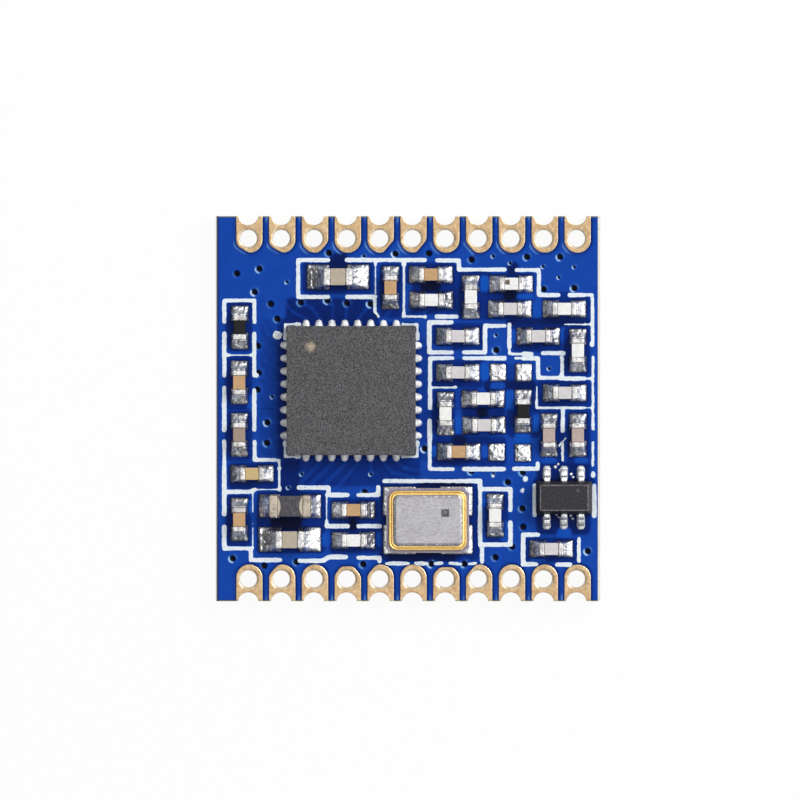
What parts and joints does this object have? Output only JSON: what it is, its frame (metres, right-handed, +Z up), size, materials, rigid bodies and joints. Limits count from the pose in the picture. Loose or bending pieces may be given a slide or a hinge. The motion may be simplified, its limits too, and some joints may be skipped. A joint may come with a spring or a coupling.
{
  "type": "radio module",
  "caption": "Small square radio board with castellated front and rear edges, carrying a flat leadless chip, a crystal, an antenna switch and chip parts; it solders flat onto a larger board.",
  "frame": {"origin": "centre of the board's underside", "axes": "+X along the terminal rows, +Y towards the rear row, +Z up to the side that carries the parts"},
  "size_m": [0.0148, 0.0148, 0.002],
  "materials": {
    "laminate": "glass-epoxy board, sawn and snapped edges",
    "solder_mask": "blue gloss coat over copper and bare laminate",
    "print_white": "matt white printed ink",
    "terminal_gold": "thin gold plate on copper, fine grain",
    "solder": "bright tin solder, wrinkled where it cooled",
    "chip_moulding": "fine-grained dark grey moulding",
    "switch_moulding": "satin black moulding",
    "lead_tin": "matt tin plate on copper leads",
    "silicon": "polished silicon",
    "tray_ceramic": "fired grey ceramic",
    "ring_gilt": "gilt seal ring",
    "lid_metal": "satin nickel-plated lid",
    "quartz": "clear quartz",
    "cap_tin": "matt tin over fired silver",
    "ceramic_tan": "fired tan ceramic",
    "ceramic_beige": "fired beige ceramic",
    "ceramic_brown": "fired grey-brown ceramic",
    "ceramic_grey": "fired pale grey ceramic",
    "ceramic_white": "fired white ceramic",
    "ferrite": "fired dark ferrite",
    "resistor_glaze": "black overglaze"
  },
  "bodies": {
    "root": {"antenna_switch_leads": "lead_tin", "antenna_switch_package": "switch_moulding", "antenna_switch_solder": "solder", "capacitor_01": "ceramic_beige", "capacitor_02": "ceramic_tan", "capacitor_03": "ceramic_tan", "capacitor_04": "ceramic_grey", "capacitor_05": "ceramic_grey", "capacitor_06": "ceramic_grey", "capacitor_07": "ceramic_grey", "capacitor_08": "ceramic_grey", "capacitor_09": "ceramic_grey", "capacitor_10": "ceramic_tan", "capacitor_11": "ceramic_grey", "capacitor_12": "ceramic_grey", "capacitor_13": "ceramic_grey", "capacitor_14": "ceramic_tan", "capacitor_15": "ceramic_brown", "capacitor_16": "ceramic_tan", "capacitor_17": "ceramic_tan", "capacitor_18": "ceramic_beige", "capacitor_19": "ceramic_tan", "capacitor_end_caps": "cap_tin", "chip_part_solder": "solder", "crystal_base": "tray_ceramic", "crystal_lid": "lid_metal", "crystal_quartz_blank": "quartz", "crystal_seal_ring": "ring_gilt", "crystal_solder": "solder", "front_edge_terminals": "terminal_gold", "inductor_01": "ceramic_white", "inductor_02": "ceramic_white", "inductor_03": "ceramic_white", "inductor_04": "ceramic_white", "inductor_05": "ceramic_white", "inductor_06": "ceramic_white", "inductor_07": "ceramic_white", "inductor_08": "ceramic_white", "inductor_09": "ceramic_white", "inductor_end_caps": "cap_tin", "laminate": "laminate", "outline_print": "print_white", "power_inductor": "ferrite", "radio_chip_die": "silicon", "radio_chip_ground_pad": "lead_tin", "radio_chip_leads": "lead_tin", "radio_chip_package": "chip_moulding", "radio_chip_solder": "solder", "rear_edge_terminals": "terminal_gold", "resistor_01": "resistor_glaze", "resistor_02": "resistor_glaze", "resistor_end_caps": "cap_tin", "solder_mask_bottom": "solder_mask", "solder_mask_top": "solder_mask", "spare_lands": "solder"}
  },
  "joints": []
}
